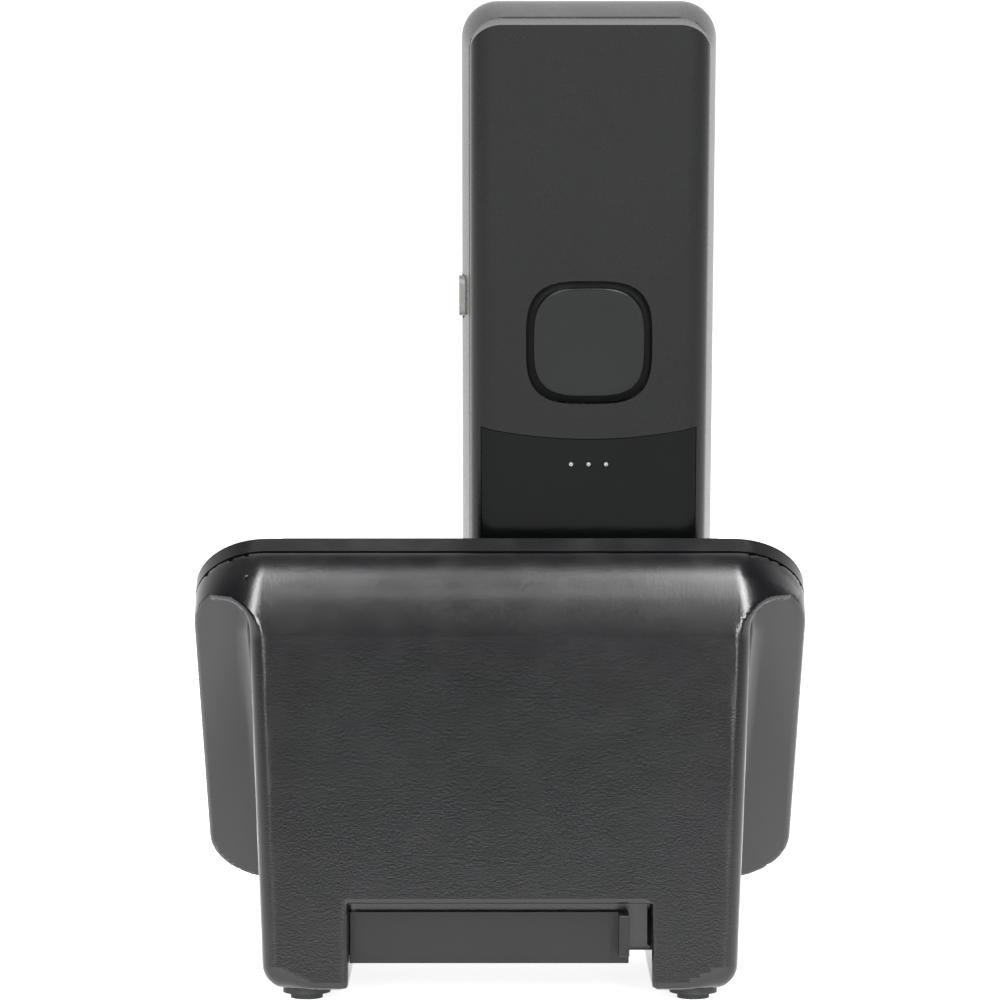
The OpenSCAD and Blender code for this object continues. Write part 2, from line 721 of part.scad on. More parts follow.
module front_housing() {
    color([0.19, 0.19, 0.19]) in_handset() {
        difference() {
            front_solid();
            front_solid(hs_wall, 1);
            along_y(-hs_back - 1, -hs_back + 3) {
                for (k = HANDSET_KEYS) key_hole(k);
                translate([0, lens_z]) round_rect(lens_w - 6, lens_h - 6, 1);
                for (x = ear_slots) translate([x, ear_z]) round_rect(1.4, 5.4, 0.4);
                translate([0, 10]) circle(0.8);
            }
            along_y(-hs_back - 1, -hs_back + lens_t) translate([0, lens_z])
                round_rect(lens_w + 2 * fit, lens_h + 2 * fit, 3 + fit);
            translate([hs_w / 2 - 3, side_key_y, side_key_z]) rotate([0, 90, 0])
                linear_extrude(6) round_rect(side_key_l + 2 * key_gap, 3.4 + 2 * key_gap, 1.6 + key_gap);
            for (x = pin_x) translate([x - 3, pin_y - 2.5, -1]) cube([6, 5, hs_wall + 2]);
        }
        for (x = [-1, 1]) translate([x * hs_screw[0], 0, hs_screw[1]]) rotate([90, 0, 0])
            difference() {
                translate([0, 0, -hs_split]) cylinder(h = hs_split + hs_back - hs_wall, d = 5);
                translate([0, 0, -hs_split - 1]) cylinder(h = 11, d = 2);
            }
    }
}

module back_housing() {
    layer = door_t + door_gap;
    color([0.20, 0.21, 0.20]) in_handset() difference() {
        union() {
            difference() {
                back_solid();
                intersection() {
                    back_solid(hs_wall, 1);
                    translate([-50, -50, door_l + 1 + tray_t]) cube([100, 100, 200]);
                }
                intersection() {
                    back_solid(layer + tray_t, 1);
                    translate([-50, -50, 0]) cube([100, 100, door_l + 1]);
                }
                intersection() {
                    back_layer(-0.5, layer, -1, door_l + 3);
                    along_y(hs_back - door_side - door_gap, hs_back + 2) door_outline(door_gap, -1);
                }
            }
            translate([-bay_w / 2 - tray_t, bay_floor - tray_t, bay_z0 - tray_t])
                cube([bay_w + 2 * tray_t, hs_back - layer - bay_floor + tray_t,
                    bay_z1 - bay_z0 + 2 * tray_t]);
            for (x = [-1, 1]) translate([x * hs_screw[0], hs_back - layer - 0.4, hs_screw[1]])
                rotate([90, 0, 0]) cylinder(h = back_t - layer - 0.4, d = 5);
        }
        translate([-bay_w / 2, bay_floor, bay_z0]) cube([bay_w, 30, bay_z1 - bay_z0]);
        for (x = [-1, 1]) translate([x * hs_screw[0], hs_back, hs_screw[1]]) rotate([90, 0, 0]) {
            cylinder(h = layer + 1.4, d = 4.4);
            cylinder(h = back_t + 1, d = 2.4);
        }
        along_y(hs_back - 3, hs_back + 1) translate([0, cap_z]) squircle(cap_hole, cap_hole);
    }
}

module speaker_cap() {
    cap = cap_hole - 2 * cap_groove;
    base_y = hs_back - hs_wall;
    color([0.20, 0.21, 0.20]) in_handset() {
        along_y(base_y - eps, hs_back) translate([0, cap_z]) squircle(cap, cap);
        along_y(base_y - 1.2, base_y) translate([0, cap_z]) difference() {
            squircle(cap_hole + 2.4, cap_hole + 2.4);
            for (a = [15:30:345]) rotate(a) translate([(cap + cap_groove) / 2 * 1.06, 0]) circle(0.45);
        }
    }
}

module rear_speaker() {
    y1 = hs_back - hs_wall - 1.2;
    color([0.30, 0.30, 0.32]) in_handset() translate([0, y1, cap_z]) rotate([90, 0, 0]) {
        cylinder(h = 2, d = cap_hole - 1);
        translate([0, 0, 2]) cylinder(h = 3, d = cap_hole * 0.6);
    }
}

module battery_door() {
    dot_pitch = 3.4;
    color([0.17, 0.18, 0.17]) in_handset() {
        intersection() {
            back_layer(0, door_t, 0, door_l + 3);
            along_y(hs_back - door_side, hs_back + 2) door_outline();
        }
        for (i = [-1:1]) translate([i * dot_pitch, hs_back - 0.2, door_l - 6.2]) rotate([-90, 0, 0])
            cylinder(h = 0.4, d = 1.2);
    }
}

module lens() {
    color([0.12, 0.13, 0.15]) in_handset() along_y(-hs_back - 0.1, -hs_back + lens_t)
        translate([0, lens_z]) round_rect(lens_w, lens_h, 3);
}

module display() {
    color([0.55, 0.62, 0.55]) in_handset() along_y(-hs_back + hs_wall + 0.4, board_y - 0.4)
        translate([0, lens_z]) round_rect(lens_w - 4, lens_h - 4, 0.8);
}

module earpiece() {
    room = board_y + hs_back - hs_wall;
    color([0.30, 0.30, 0.32]) in_handset() translate([0, -hs_back + hs_wall, ear_z]) rotate([-90, 0, 0])
        cylinder(h = 0.7 * room, d = 15);
}

module microphone() {
    color([0.60, 0.60, 0.62]) in_handset() translate([0, -hs_back + hs_wall, 10]) rotate([-90, 0, 0])
        cylinder(h = 2.4, d = 4);
}

module handset_board() {
    color([0.10, 0.35, 0.20]) in_handset() difference() {
        along_y(board_y, board_y + board_t) translate([0, hs_l / 2])
            round_rect(hs_w - 2 * hs_wall - 4.8, hs_l - 2 * hs_wall - 2, 4);
        along_y(board_y - 1, board_y + board_t + 1)
            for (x = [-1, 1]) translate([x * hs_screw[0], hs_screw[1]]) circle(2.8);
    }
}

module keypad_mat() {
    h = soft_z + 4 - (row_0 - 5);
    color([0.35, 0.36, 0.38]) in_handset() along_y(board_y - mat_t, board_y)
        translate([0, row_0 - 5 + h / 2]) round_rect(hs_w - 2 * hs_wall - 3, h, 2);
}

module cells() {
    color([0.25, 0.45, 0.30]) in_handset() for (x = [-1, 1])
        translate([x * cell_x, cell_y, bay_z0 + contact_room]) {
            cylinder(h = cell_l - 1, d = cell_d);
            translate([0, 0, cell_l - 1]) cylinder(h = 1, d = 3.8);
        }
}

module battery_contacts() {
    plate = 0.5;
    color([0.80, 0.80, 0.78]) in_handset() for (x = [-1, 1]) {
        translate([x * cell_x - 4, cell_y - 4, bay_z0]) cube([8, 7, plate]);
        translate([x * cell_x, cell_y, bay_z0 + plate])
            cylinder(h = contact_room - plate, d = 5);
        translate([x * cell_x - 4, cell_y - 4, bay_z1 - plate]) cube([8, 7, plate]);
        translate([x * cell_x, cell_y, bay_z1 - contact_room])
            cylinder(h = contact_room - plate, d = 3);
    }
}

module charge_plates() {
    color([0.85, 0.72, 0.40]) in_handset() for (x = pin_x)
        translate([x - 3 + fit, pin_y - 2.5 + fit, 0]) cube([6 - 2 * fit, 5 - 2 * fit, hs_wall]);
}

module handset_screws() {
    head_y = hs_back - door_t - door_gap - 0.2;
    color([0.70, 0.70, 0.72]) in_handset() for (x = [-1, 1])
        translate([x * hs_screw[0], head_y, hs_screw[1]]) rotate([90, 0, 0]) {
            difference() {
                cylinder(h = 1.2, d = 4);
                translate([-1.3, -0.3, -1]) cube([2.6, 0.6, 1.5]);
                translate([-0.3, -1.3, -1]) cube([0.6, 2.6, 1.5]);
            }
            translate([0, 0, 1.1]) cylinder(h = 12, d = 1.9);
        }
}

module side_key() {
    rise = 0.6;
    color([0.45, 0.45, 0.44]) in_handset() translate([hs_w / 2, side_key_y, side_key_z]) rotate([0, 90, 0]) {
        translate([0, 0, -hs_wall - 1.2]) linear_extrude(hs_wall + 1.2 + rise)
            round_rect(side_key_l, 3.4, 1.6);
        translate([0, 0, -hs_wall - 1]) linear_extrude(0.8)
            round_rect(side_key_l + 1.4, 4.8, 1.6);
    }
}

// Keys
module play_key() {
    color([0.10, 0.10, 0.11]) base_key("play_key");
}

module erase_key() {
    color([0.28, 0.28, 0.29]) base_key("erase_key");
}

module answer_key() {
    color([0.28, 0.28, 0.29]) base_key("answer_key");
}

module skip_back_key() {
    color([0.28, 0.28, 0.29]) base_key("skip_back_key");
}

module skip_forward_key() {
    color([0.28, 0.28, 0.29]) base_key("skip_forward_key");
}

module volume_down_key() {
    color([0.28, 0.28, 0.29]) base_key("volume_down_key");
}

module volume_up_key() {
    color([0.28, 0.28, 0.29]) base_key("volume_up_key");
}

module locator_key() {
    color([0.28, 0.28, 0.29]) base_key("locator_key");
}

module talk_key() {
    color([0.20, 0.55, 0.30]) handset_key("talk_key");
}

module off_key() {
    color([0.65, 0.18, 0.15]) handset_key("off_key");
}

module soft_left_key() {
    color([0.25, 0.25, 0.26]) handset_key("soft_left_key");
}

module soft_right_key() {
    color([0.25, 0.25, 0.26]) handset_key("soft_right_key");
}

module navigation_key() {
    color([0.30, 0.30, 0.31]) handset_key("navigation_key");
}

module number_1_key() {
    color([0.25, 0.25, 0.26]) handset_key("number_1_key");
}

module number_2_key() {
    color([0.25, 0.25, 0.26]) handset_key("number_2_key");
}

module number_3_key() {
    color([0.25, 0.25, 0.26]) handset_key("number_3_key");
}

module number_4_key() {
    color([0.25, 0.25, 0.26]) handset_key("number_4_key");
}

module number_5_key() {
    color([0.25, 0.25, 0.26]) handset_key("number_5_key");
}

module number_6_key() {
    color([0.25, 0.25, 0.26]) handset_key("number_6_key");
}

module number_7_key() {
    color([0.25, 0.25, 0.26]) handset_key("number_7_key");
}

module number_8_key() {
    color([0.25, 0.25, 0.26]) handset_key("number_8_key");
}

module number_9_key() {
    color([0.25, 0.25, 0.26]) handset_key("number_9_key");
}

module star_key() {
    color([0.25, 0.25, 0.26]) handset_key("star_key");
}

module number_0_key() {
    color([0.25, 0.25, 0.26]) handset_key("number_0_key");
}

module hash_key() {
    color([0.25, 0.25, 0.26]) handset_key("hash_key");
}

front_cover();
rear_shell();
bottom_cover();
cradle();
charge_pins();
control_panel();
counter_window();
counter_display();
base_speaker();
key_board();
main_board();
ballast_plate();
line_jack();
power_jack();
rubber_feet();
base_screws();
play_key();
erase_key();
answer_key();
skip_back_key();
skip_forward_key();
volume_down_key();
volume_up_key();
locator_key();
front_housing();
back_housing();
speaker_cap();
rear_speaker();
battery_door();
lens();
display();
earpiece();
microphone();
handset_board();
keypad_mat();
cells();
battery_contacts();
charge_plates();
handset_screws();
side_key();
talk_key();
off_key();
soft_left_key();
soft_right_key();
navigation_key();
number_1_key();
number_2_key();
number_3_key();
number_4_key();
number_5_key();
number_6_key();
number_7_key();
number_8_key();
number_9_key();
star_key();
number_0_key();
hash_key();
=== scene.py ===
import bpy
import json
import numpy as np
from math import radians
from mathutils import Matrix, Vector


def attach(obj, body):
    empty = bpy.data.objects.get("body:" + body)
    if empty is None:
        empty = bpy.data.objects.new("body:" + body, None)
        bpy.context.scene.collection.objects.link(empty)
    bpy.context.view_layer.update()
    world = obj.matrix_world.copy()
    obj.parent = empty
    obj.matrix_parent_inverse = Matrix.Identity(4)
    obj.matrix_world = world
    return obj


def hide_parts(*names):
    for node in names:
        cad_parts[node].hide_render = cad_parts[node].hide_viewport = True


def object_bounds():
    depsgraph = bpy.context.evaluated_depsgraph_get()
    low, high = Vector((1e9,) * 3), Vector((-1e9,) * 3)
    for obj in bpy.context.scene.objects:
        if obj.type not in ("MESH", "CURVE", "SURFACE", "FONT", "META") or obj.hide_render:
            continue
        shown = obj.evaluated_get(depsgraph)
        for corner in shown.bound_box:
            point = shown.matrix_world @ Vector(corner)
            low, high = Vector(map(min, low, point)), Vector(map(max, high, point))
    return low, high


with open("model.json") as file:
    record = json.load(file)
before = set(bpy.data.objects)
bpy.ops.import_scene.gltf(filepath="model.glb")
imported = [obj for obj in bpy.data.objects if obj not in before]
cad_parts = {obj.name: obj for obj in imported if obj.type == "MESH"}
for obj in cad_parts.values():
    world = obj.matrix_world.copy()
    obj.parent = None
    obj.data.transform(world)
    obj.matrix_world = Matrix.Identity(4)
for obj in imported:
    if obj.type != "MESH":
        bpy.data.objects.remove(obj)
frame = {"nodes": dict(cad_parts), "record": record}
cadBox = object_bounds()
scene = bpy.context.scene
print("frame loaded:", len(frame["nodes"]), "nodes")


# materials

class Wire:  # a socket of a node tree that can be added, multiplied and so on
    def __init__(self, tree, socket=None):
        self.tree, self.socket = tree, socket

    def node(self, kind, settings=None, values=None, out=0):  # any node: its settings first, then its sockets
        made = self.tree.nodes.new("ShaderNode" + kind)
        for name, value in (settings or {}).items():
            setattr(made, name, value)
        for name, value in (values or {}).items():
            if isinstance(value, Wire):
                self.tree.links.new(value.socket, made.inputs[name])
            else:
                made.inputs[name].default_value = value
        return Wire(self.tree, made.outputs[out])

    def math(self, operation, a, b):
        return self.node("Math", {"operation": operation}, {0: a, 1: b})

    def __add__(self, other):
        return self.math("ADD", self, other)

    def __mul__(self, other):
        return self.math("MULTIPLY", self, other)

    def __sub__(self, other):
        return self.math("SUBTRACT", self, other)

    def __rsub__(self, other):
        return self.math("SUBTRACT", other, self)

    __radd__, __rmul__ = __add__, __mul__

    def mix(self, low, high):  # the first colour where this wire is 0, the second where it is 1
        low, high = [(*c, 1) if isinstance(c, tuple) else c for c in (low, high)]
        return self.node("Mix", {"data_type": "RGBA"}, {0: self, 6: low, 7: high}, 2)

    def noise(self, where, scale, detail=2.0, roughness=0.5):
        return self.node("TexNoise", {}, {"Vector": where, "Scale": scale, "Detail": detail,
                                          "Roughness": roughness})

    def ramp(self, low, high, start=0.0, end=1.0):  # smooth step between two values of this wire
        return self.node("MapRange", {"interpolation_type": "SMOOTHSTEP"},
                         {"Value": self, "From Min": low, "From Max": high, "To Min": start, "To Max": end})

    def into(self, socket):
        self.tree.links.new(self.socket, socket)


def newMaterial(name):
    material = bpy.data.materials.new(name)
    material.use_nodes = True
    return material, Wire(material.node_tree), material.node_tree.nodes["Principled BSDF"]


def plastic(name, colour, rough, grain=0.3, grainScale=2600.0, tone=0.12, coat=0.0, dust=0.02, shine=0.5):
    # moulded plastic: fine grain in the bump, slow change of tone and gloss, a little dust on what faces up
    material, wire, shader = newMaterial(name)
    where = wire.node("TexCoord", out="Object")
    fine = wire.noise(where, grainScale, 3.0, 0.55)
    slow = wire.noise(where, 34.0, 3.0)
    patch = wire.noise(where, 140.0, 4.0, 0.6)
    up = wire.node("SeparateXYZ", {}, {0: wire.node("NewGeometry", out="Normal")}, "Z")
    film = up.ramp(0.2, 1.0) * patch.ramp(0.4, 0.75) * dust
    tones = [tuple(c * (1 + side * tone) for c in colour) for side in (-1, 1)]
    film.mix(slow.ramp(0.3, 0.7).mix(*tones), (0.5, 0.49, 0.47)).into(shader.inputs["Base Color"])
    gloss = patch.ramp(0.35, 0.7, rough - 0.005, rough + 0.012)  # wiped and unwiped patches
    (fine.ramp(0.3, 0.7, -0.015, 0.015) + gloss).into(shader.inputs["Roughness"])
    shader.inputs["Specular IOR Level"].default_value = shine
    shader.inputs["Coat Weight"].default_value = coat
    shader.inputs["Coat Roughness"].default_value = 0.06
    bump = wire.node("Bump", {}, {"Strength": grain, "Distance": 0.00006, "Height": fine})
    bump.into(shader.inputs["Normal"])
    return material


def metal(name, colour, rough):
    # plated metal: faint streaks along one way in gloss and bump, stains in the colour
    material, wire, shader = newMaterial(name)
    where = wire.node("TexCoord", out="Object")
    streak = wire.noise(wire.node("Mapping", {}, {"Vector": where, "Scale": (1.0, 0.08, 1.0)}), 5200.0, 2.0)
    stain = wire.noise(where, 260.0, 4.0, 0.6)
    stain.ramp(0.35, 0.7).mix(colour, tuple(c * 0.78 for c in colour)).into(shader.inputs["Base Color"])
    gloss = streak.ramp(0.3, 0.7, rough - 0.05, rough + 0.05) + stain.ramp(0.4, 0.8, 0.0, 0.1)
    gloss.into(shader.inputs["Roughness"])
    wire.node("Bump", {}, {"Strength": 0.2, "Distance": 0.00003, "Height": streak}).into(shader.inputs["Normal"])
    shader.inputs["Metallic"].default_value = 1.0
    return material


# one finish for each material slot: colour, roughness and, where they differ, grain, its scale, tone, coat, dust
finish = {
    "cover_plastic": plastic("cover_plastic", (0.0045, 0.0045, 0.0048), 0.24, shine=0.34),
    "shell_plastic": plastic("shell_plastic", (0.0042, 0.0042, 0.0048), 0.19),
    "bottom_plastic": plastic("bottom_plastic", (0.0060, 0.0060, 0.0066), 0.30, shine=0.3),
    "cradle_plastic": plastic("cradle_plastic", (0.013, 0.013, 0.014), 0.40),
    "contact_metal": metal("contact_metal", (0.83, 0.62, 0.26), 0.25),
    "contact_steel": metal("contact_steel", (0.62, 0.62, 0.60), 0.3),
    "panel_gloss": plastic("panel_gloss", (0.006, 0.006, 0.007), 0.16, 0.05, 900.0, 0.1, 0.6, 0.01),
    "window_clear": plastic("window_clear", (0.010, 0.011, 0.013), 0.08, 0.02, 900.0, 0.1, 1.0, 0.01),
    "counter_red": plastic("counter_red", (0.20, 0.02, 0.015), 0.3),
    "speaker_metal": metal("speaker_metal", (0.25, 0.25, 0.26), 0.4),
    "board_green": plastic("board_green", (0.02, 0.10, 0.05), 0.35),
    "zinc_steel": metal("zinc_steel", (0.60, 0.60, 0.62), 0.3),
    "jack_plastic": plastic("jack_plastic", (0.012, 0.012, 0.013), 0.35),
    "foot_rubber": plastic("foot_rubber", (0.016, 0.018, 0.017), 0.62, 0.5, 1500.0),
    "housing_plastic": plastic("housing_plastic", (0.012, 0.0125, 0.012), 0.27, 0.12),
    "back_plastic": plastic("back_plastic", (0.0022, 0.0026, 0.0024), 0.26, 0.2, shine=0.17),
    "cap_plastic": plastic("cap_plastic", (0.0024, 0.0029, 0.0027), 0.25, 0.15, shine=0.18),
    "door_plastic": plastic("door_plastic", (0.0016, 0.0019, 0.0018), 0.24, 0.15, shine=0.08),
    "display_grey": plastic("display_grey", (0.20, 0.24, 0.20), 0.3),
    "mat_rubber": plastic("mat_rubber", (0.10, 0.10, 0.11), 0.6),
    "cell_wrap": plastic("cell_wrap", (0.03, 0.16, 0.07), 0.25, 0.1),
    "side_key_plastic": plastic("side_key_plastic", (0.16, 0.16, 0.15), 0.35),
    "talk_green": plastic("talk_green", (0.03, 0.26, 0.08), 0.32, 0.1),
    "off_red": plastic("off_red", (0.34, 0.03, 0.02), 0.32, 0.1),
    "navigation_plastic": plastic("navigation_plastic", (0.05, 0.05, 0.052), 0.28, 0.1),
    "play_gloss": plastic("play_gloss", (0.012, 0.012, 0.013), 0.18, 0.05),
    "key_plastic": plastic("key_plastic", (0.030, 0.030, 0.032), 0.34, 0.2),
    "white_print": plastic("white_print", (0.72, 0.72, 0.70), 0.5, 0.1, 3000.0, 0.05),
}
slotOf = {row["node"]: row["material_slot"] for row in frame["record"]["subparts"]}
bodyOf = {node: body for body, nodes in frame["record"]["behaviour"]["bodies"].items() for node in nodes}
for node, piece in frame["nodes"].items():
    piece.data.materials.clear()
    piece.data.materials.append(finish[slotOf[node]])
print("materials made:", len(finish))
# edges of the CAD pieces that stay: a small round, so that they catch the light
edgeRound = {"width": 0.00035, "segments": 2, "angle": 32}
for piece in frame["nodes"].values():
    weld = piece.modifiers.new("weld", "WELD")
    weld.merge_threshold = 1e-6
    bevel = piece.modifiers.new("edge", "BEVEL")
    bevel.width, bevel.segments = edgeRound["width"], edgeRound["segments"]
    bevel.limit_method, bevel.angle_limit = "ANGLE", radians(edgeRound["angle"])
    piece.modifiers.new("normals", "WEIGHTED_NORMAL").weight = 90  # keeps the broad faces flat
print("edges rounded")


# surfaces; every size below is in millimetres

def addPiece(name, points, faces, slot, body, nodes=(), normals=None):
    mesh = bpy.data.meshes.new(name)
    faces = np.asarray(faces)
    mesh.vertices.add(len(points))
    mesh.vertices.foreach_set("co", (np.asarray(points) * 0.001).astype(np.float32).ravel())
    mesh.loops.add(faces.size)
    mesh.loops.foreach_set("vertex_index", faces.astype(np.int32).ravel())
    mesh.polygons.add(len(faces))
    mesh.polygons.foreach_set("loop_start", (np.arange(len(faces)) * faces.shape[1]).astype(np.int32))
    mesh.update(calc_edges=True)
    mesh.validate()
    mesh.shade_smooth()
    if normals is not None:
        mesh.normals_split_custom_set_from_vertices(normals.tolist())
    mesh.materials.append(finish[slot])
    piece = bpy.data.objects.new(name, mesh)
    scene.collection.objects.link(piece)
    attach(piece, body)
    if nodes:
        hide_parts(*nodes)
    return piece


def roundMax(a, b, r):
    # where two solids meet: the larger distance, with a quarter circle of radius r over the edge between them
    return np.minimum(-r, np.maximum(a, b)) + np.hypot(np.maximum(a + r, 0), np.maximum(b + r, 0))


def roundMin(a, b, r):
    return -roundMax(-a, -b, r)


def roundRect(x, y, w, h, r):
    # distance to a rectangle of w by h with corner radius r
    dx, dy = np.abs(x) - w / 2 + r, np.abs(y) - h / 2 + r
    return np.minimum(np.maximum(dx, dy), 0) + np.hypot(np.maximum(dx, 0), np.maximum(dy, 0)) - r


def slab(value, low, high):
    return np.maximum(low - value, value - high)


def smooth(value, low, high):
    t = np.clip((value - low) / (high - low), 0, 1)
    return t * t * (3 - 2 * t)


def skin(field, low, high, pitch, place):
    # the surface where field(x, y, z) is 0: one corner in each grid cell that it crosses, moved along the slope
    # of the field until the field is 0 there, and one quad across each grid edge that it crosses
    axes = [np.arange(a - pitch, b + 2 * pitch, pitch) for a, b in zip(low, high)]
    inside = field(*np.meshgrid(*axes, indexing="ij")) < 0
    count = np.zeros(np.array(inside.shape) - 1, np.int8)
    for i in (0, 1):
        for j in (0, 1):
            for k in (0, 1):
                count += inside[i:len(axes[0]) - 1 + i, j:len(axes[1]) - 1 + j, k:len(axes[2]) - 1 + k]
    cells = np.argwhere((count > 0) & (count < 8))
    index = np.full(count.shape, -1)
    index[tuple(cells.T)] = np.arange(len(cells))
    start = np.stack([axis[cells[:, a]] for a, axis in enumerate(axes)], 1) + pitch / 2
    points, step, passes = start.copy(), 0.02, 5
    for turn in range(passes):
        value = field(*points.T)
        slope = np.stack([field(*(points + step * np.eye(3)[a]).T) - value for a in range(3)], 1) / step
        length = np.maximum(np.linalg.norm(slope, axis=1), 0.2)
        if turn < passes - 1:
            points -= slope * (value / length ** 2)[:, None]
            points = start + np.clip(points - start, -0.8 * pitch, 0.8 * pitch)
    faces = []
    for a in range(3):
        b, c = (a + 1) % 3, (a + 2) % 3
        first = np.take(inside, range(len(axes[a]) - 1), a)
        second = np.take(inside, range(1, len(axes[a])), a)
        for solid, order in ((first & ~second, 1), (second & ~first, -1)):
            edges = np.argwhere(solid)
            corners = []
            for db, dc in ((-1, -1), (0, -1), (0, 0), (-1, 0))[::order]:
                cell = edges.copy()
                cell[:, b] += db
                cell[:, c] += dc
                corners.append(index[tuple(cell.T)])
            faces.append(np.stack(corners, 1))
    return place(points), np.concatenate(faces), place(slope / length[:, None]) - place(np.zeros((1, 3)))


def stack(outline, levels, place):
    # a closed outline carried along a profile: each level gives the outline's inset, the share of its size and
    # its height, and the first and last levels have share 0, so both ends are closed
    count = len(outline(1.0, 0.0))
    rings = np.stack([outline(inset, share) for inset, share, _ in levels])
    heights = np.repeat([[h] for _, _, h in levels], count, 1)
    points = np.concatenate([rings, heights[..., None]], 2).reshape(-1, 3)
    row, column = np.meshgrid(np.arange(len(levels) - 1), np.arange(count), indexing="ij")
    after = (column + 1) % count
    here, above = row * count, (row + 1) * count
    faces = np.stack([here + column, here + after, above + after, above + column], 2)
    return place(points), faces.reshape(-1, 4)


# base shell: tilted head, hood and stand in one rounded body, hollow, open towards the front cover and underneath

shellSize = {
    "width": 119.4, "faceLength": 95.5, "faceHeight": 21.0, "faceCorner": 14.5, "headDepth": 10.0, "coverEdge": 3.2,
    "shoulderRadius": 26.0, "lean": 4.5, "hoodCorner": 13.0, "archTop": 76.8, "archRadius": 5.0, "archEnd": 4.2,
    "footWidth": 91.2, "neckWidth": 97.6, "legBottom": 2.5, "legCorner": 3.6, "standFront": 14.0, "standEdge": 3.0,
    "wingFillet": 3.2, "headEdge": 0.9, "archEdge": 1.3, "frontEdge": 2.0, "lowEdge": 0.9, "partingEdge": 0.75,
    "tunnelTop": 9.0, "cutTop": 19.0, "cutDepth": 9.0, "cutEdge": 0.9,
    "wall": 2.0, "thickerWall": 1.3, "solidFrom": 49.0, "wellGrowth": 1.2, "wellCorner": 4.5, "wellFloor": 40.0,
    "pitch": 1.0,
}
handset = {"x": -17.2, "y": 39.2596, "z": 34.5008, "lean": 12.5, "width": 49.2, "depth": 24.0, "length": 160.5}
handsetTurn = radians(handset["lean"])
frontEdge = cadBox[0][1] * 1000  # world y of the face's front edge
slope = np.sqrt(0.5)  # the face climbs at 45 degrees
tunnelHalf = shellSize["footWidth"] * 0.32
leanTurn = radians(shellSize["lean"])


def shellPlace(p):
    return p + (0, frontEdge, 0)


def faceAxes(y, z):  # distance up the face and height over it
    z = z - shellSize["faceHeight"]
    return (y + z) * slope, (z - y) * slope


ridgeY = (shellSize["faceLength"] + shellSize["coverEdge"]) * slope
ridgeZ = shellSize["faceHeight"] + (shellSize["faceLength"] - shellSize["coverEdge"]) * slope
shoulderY, shoulderZ = ridgeY - shellSize["shoulderRadius"] * slope, ridgeZ - shellSize["shoulderRadius"] * slope
rearTop = shoulderY + shellSize["shoulderRadius"] * np.cos(leanTurn)
rearTopZ = shoulderZ + shellSize["shoulderRadius"] * np.sin(leanTurn)


def rearAt(z):  # y of the rear wall at height z
    return rearTop + (rearTopZ - z) * np.tan(leanTurn)


def rearDistance(y, z):  # distance outside the leaning wall, the shoulder's arc and the ridge, and the normal's turn
    turn = np.clip(np.arctan2(z - shoulderZ, y - shoulderY), leanTurn, np.pi / 4)
    return (y - shoulderY) * np.cos(turn) + (z - shoulderZ) * np.sin(turn) - shellSize["shoulderRadius"], turn


def shellBody(x, y, z):
    s = shellSize
    side = np.abs(x)
    up, over = faceAxes(y, z)
    rear, turn = rearDistance(y, z)
    corner = s["hoodCorner"] + (s["faceCorner"] - s["hoodCorner"]) * (turn - leanTurn) / (np.pi / 4 - leanTurn)
    hull = roundMax(rear, side - s["width"] / 2, corner)
    head = roundRect(x, up - s["faceLength"] / 2, s["width"], s["faceLength"], s["faceCorner"])
    head = roundMax(np.maximum(head, hull), -s["headDepth"] - over, s["headEdge"])
    flare = (s["neckWidth"] - s["footWidth"]) / 2
    stand = s["footWidth"] / 2 + flare * (z - s["legBottom"]) / s["archTop"]
    scoop = roundMax(stand - side, z - s["archTop"], s["archRadius"])
    scoop = roundMax(scoop, side - s["width"] / 2 - 0.3, s["archEnd"])
    edge = s["standEdge"] + (s["archEdge"] - s["standEdge"]) * smooth(z, s["archTop"] - 7, s["archTop"] - 1)
    body = roundMax(hull, -scoop, edge)
    body = roundMax(body, s["standFront"] - y, s["frontEdge"])
    body = roundMax(body, s["legBottom"] - z, s["legCorner"] * smooth(side, 34, 44) + s["lowEdge"])
    fillet = s["wingFillet"] * (1 - smooth(side, 51, 55)) * (1 - smooth(z, 70, 76)) + 0.001
    return roundMin(head, body, fillet)


def shellField(x, y, z):  # the body without its room, the recess in its rear, the tunnel and the handset's well
    s = shellSize
    up, over = faceAxes(y, z)
    body = shellBody(x, y, z)
    front = over + s["coverEdge"]
    behind = rearAt(s["legBottom"]) - s["cutDepth"] - y
    recess = roundMax(np.maximum(np.abs(x) - tunnelHalf, z - s["cutTop"]), behind, 0.6)
    tunnel = np.maximum(np.abs(x) - tunnelHalf, z - s["tunnelTop"])
    wall = s["wall"] + s["thickerWall"] * smooth(over, -9, -5)
    room = np.maximum(body + wall, wall - recess)
    room = np.maximum(room, np.minimum(s["tunnelTop"] + 2 - z, np.abs(x) - tunnelHalf))
    room = roundMax(room, np.abs(x) - s["solidFrom"], 1.0)
    well = roundRect(x - handset["x"], tiltedDepth(y, z), handset["width"] + s["wellGrowth"],
                     handset["depth"] + s["wellGrowth"], s["wellCorner"])
    room = np.minimum(room, np.maximum(well, s["wellFloor"] - z))
    shell = np.maximum(body, -room)
    cut = np.minimum(recess, tunnel)
    return roundMax(roundMax(shell, -cut, s["cutEdge"]), front, s["partingEdge"])


def tiltedDepth(y, z):  # depth in the handset's own frame, 0 in the middle of its thickness
    return (y - handset["y"]) * np.cos(handsetTurn) - (z - handset["z"]) * np.sin(handsetTurn)


def handsetPlace(p):  # from the handset's frame (x, depth towards the back, height) to the world
    x, y, z = p.T
    return np.stack([x + handset["x"], handset["y"] + frontEdge + y * np.cos(handsetTurn) + z * np.sin(handsetTurn),
                     handset["z"] - y * np.sin(handsetTurn) + z * np.cos(handsetTurn)], 1)


